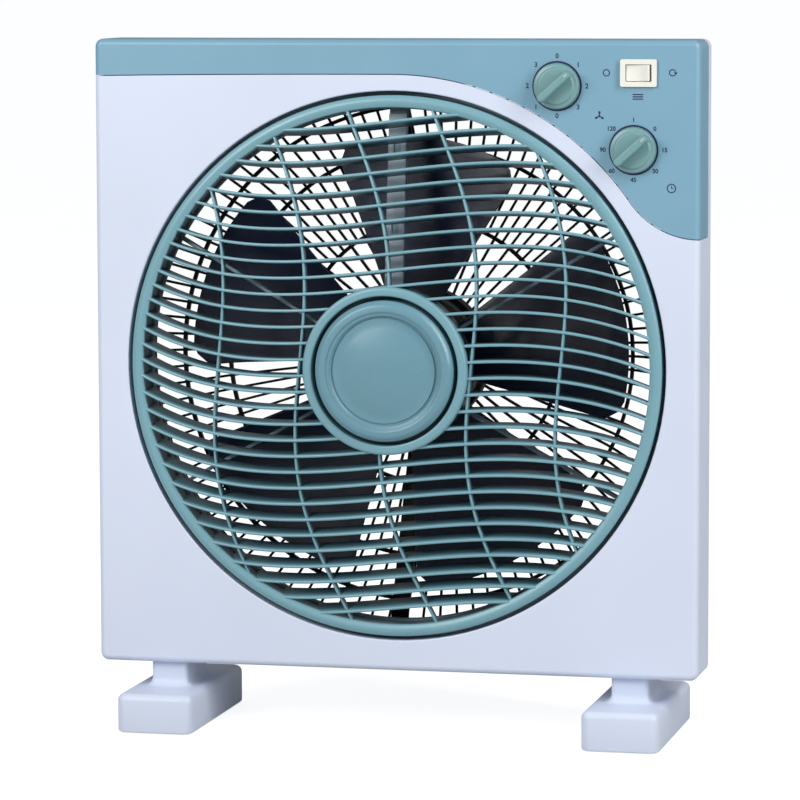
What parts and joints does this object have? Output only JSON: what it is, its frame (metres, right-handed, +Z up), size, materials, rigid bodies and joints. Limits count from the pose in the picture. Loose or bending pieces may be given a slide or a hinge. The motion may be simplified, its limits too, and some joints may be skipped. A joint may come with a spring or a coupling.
{
  "type": "box fan",
  "caption": "Square table-top box fan on two cross feet, with a domed revolving front louver, rear guard, speed knob, timer knob and rocker switch.",
  "frame": {"origin": "centre of the footprint on the surface that the fan stands on", "axes": "+Z up, -Y out of the front louver, +X to the right seen from the front, towards the control knobs"},
  "size_m": [0.36, 0.13, 0.408],
  "materials": {
    "housing": "fine satin moulding, pale lavender",
    "foot": "fine satin moulding, pale lavender",
    "fascia": "satin blue moulding",
    "louver": "satin blue-green moulding",
    "cap": "satin grey-blue moulding",
    "knob": "satin grey-blue moulding",
    "rocker": "glossy cream moulding",
    "blade": "glossy dark navy moulding",
    "guard": "black moulding",
    "duct": "black moulding",
    "black_plastic": "black moulding",
    "spider": "grey-blue moulding",
    "channel": "grey-lavender moulding",
    "painted_steel": "black paint",
    "steel": "bright zinc plate",
    "zinc": "as-pressed plated sheet",
    "lamination": "stacked dark steel sheet",
    "copper": "varnished copper winding",
    "bronze": "sintered bronze",
    "rubber": "soft black rubber"
  },
  "bodies": {
    "root": {"front_housing": "housing", "rear_housing": "housing", "left_foot": "foot", "right_foot": "foot", "control_fascia": "fascia", "rear_guard": "guard", "air_duct": "duct", "cord_inlet_gland": "black_plastic", "louver_spider": "spider", "wire_channel_cover": "channel", "louver_motor": "zinc", "stator_core": "lamination", "motor_front_shield": "zinc", "motor_rear_shield": "zinc", "front_winding": "copper", "rear_winding": "copper", "front_bearing": "bronze", "rear_bearing": "bronze", "motor_bracket": "painted_steel", "run_capacitor": "black_plastic", "speed_switch_body": "black_plastic", "timer_body": "zinc", "rocker_body": "rocker", "rocker_pin": "steel", "left_foot_pad_1": "rubber", "left_foot_pad_2": "rubber", "right_foot_pad_1": "rubber", "right_foot_pad_2": "rubber", "corner_screw_1": "steel", "corner_screw_2": "steel", "corner_screw_3": "steel", "corner_screw_4": "steel", "guard_screw_1": "steel", "guard_screw_2": "steel", "guard_screw_3": "steel", "guard_screw_4": "steel", "spider_screw_1": "steel", "spider_screw_2": "steel", "spider_screw_3": "steel", "spider_screw_4": "steel", "bracket_screw_1": "steel", "bracket_screw_2": "steel", "motor_screw_1": "steel", "motor_screw_2": "steel", "foot_screw_1": "steel", "foot_screw_2": "steel", "foot_screw_3": "steel", "foot_screw_4": "steel"},
    "fan_rotor": {"fan_blade": "blade", "motor_shaft": "steel", "blade_nut": "blade", "rotor_core": "lamination"},
    "louver": {"rotary_louver": "louver", "centre_cap": "cap", "louver_drive_shaft": "steel"},
    "speed_dial": {"speed_knob": "knob", "speed_switch_shaft": "steel"},
    "timer_dial": {"timer_knob": "knob", "timer_shaft": "steel"},
    "rocker": {"rocker_button": "rocker"}
  },
  "joints": [
    {"name": "fan_spin", "type": "hinge", "parent": "root", "child": "fan_rotor", "pos_m": [0, -0.002, 0.2175], "axis": [0, 1, 0], "continuous": true},
    {"name": "louver_spin", "type": "hinge", "parent": "root", "child": "louver", "pos_m": [0, -0.045, 0.2175], "axis": [0, 1, 0], "continuous": true},
    {"name": "speed_knob_turn", "type": "hinge", "parent": "root", "child": "speed_dial", "pos_m": [0.0969, -0.04, 0.3815], "axis": [0, -1, 0], "continuous": true},
    {"name": "timer_knob_turn", "type": "hinge", "parent": "root", "child": "timer_dial", "pos_m": [0.1415, -0.04, 0.3452], "axis": [0, -1, 0], "range_deg": [-270, 45]},
    {"name": "rocker_tilt", "type": "hinge", "parent": "root", "child": "rocker", "pos_m": [0.14435, -0.035, 0.38915], "axis": [0, 0, 1], "range_deg": [0, 20]}
  ]
}
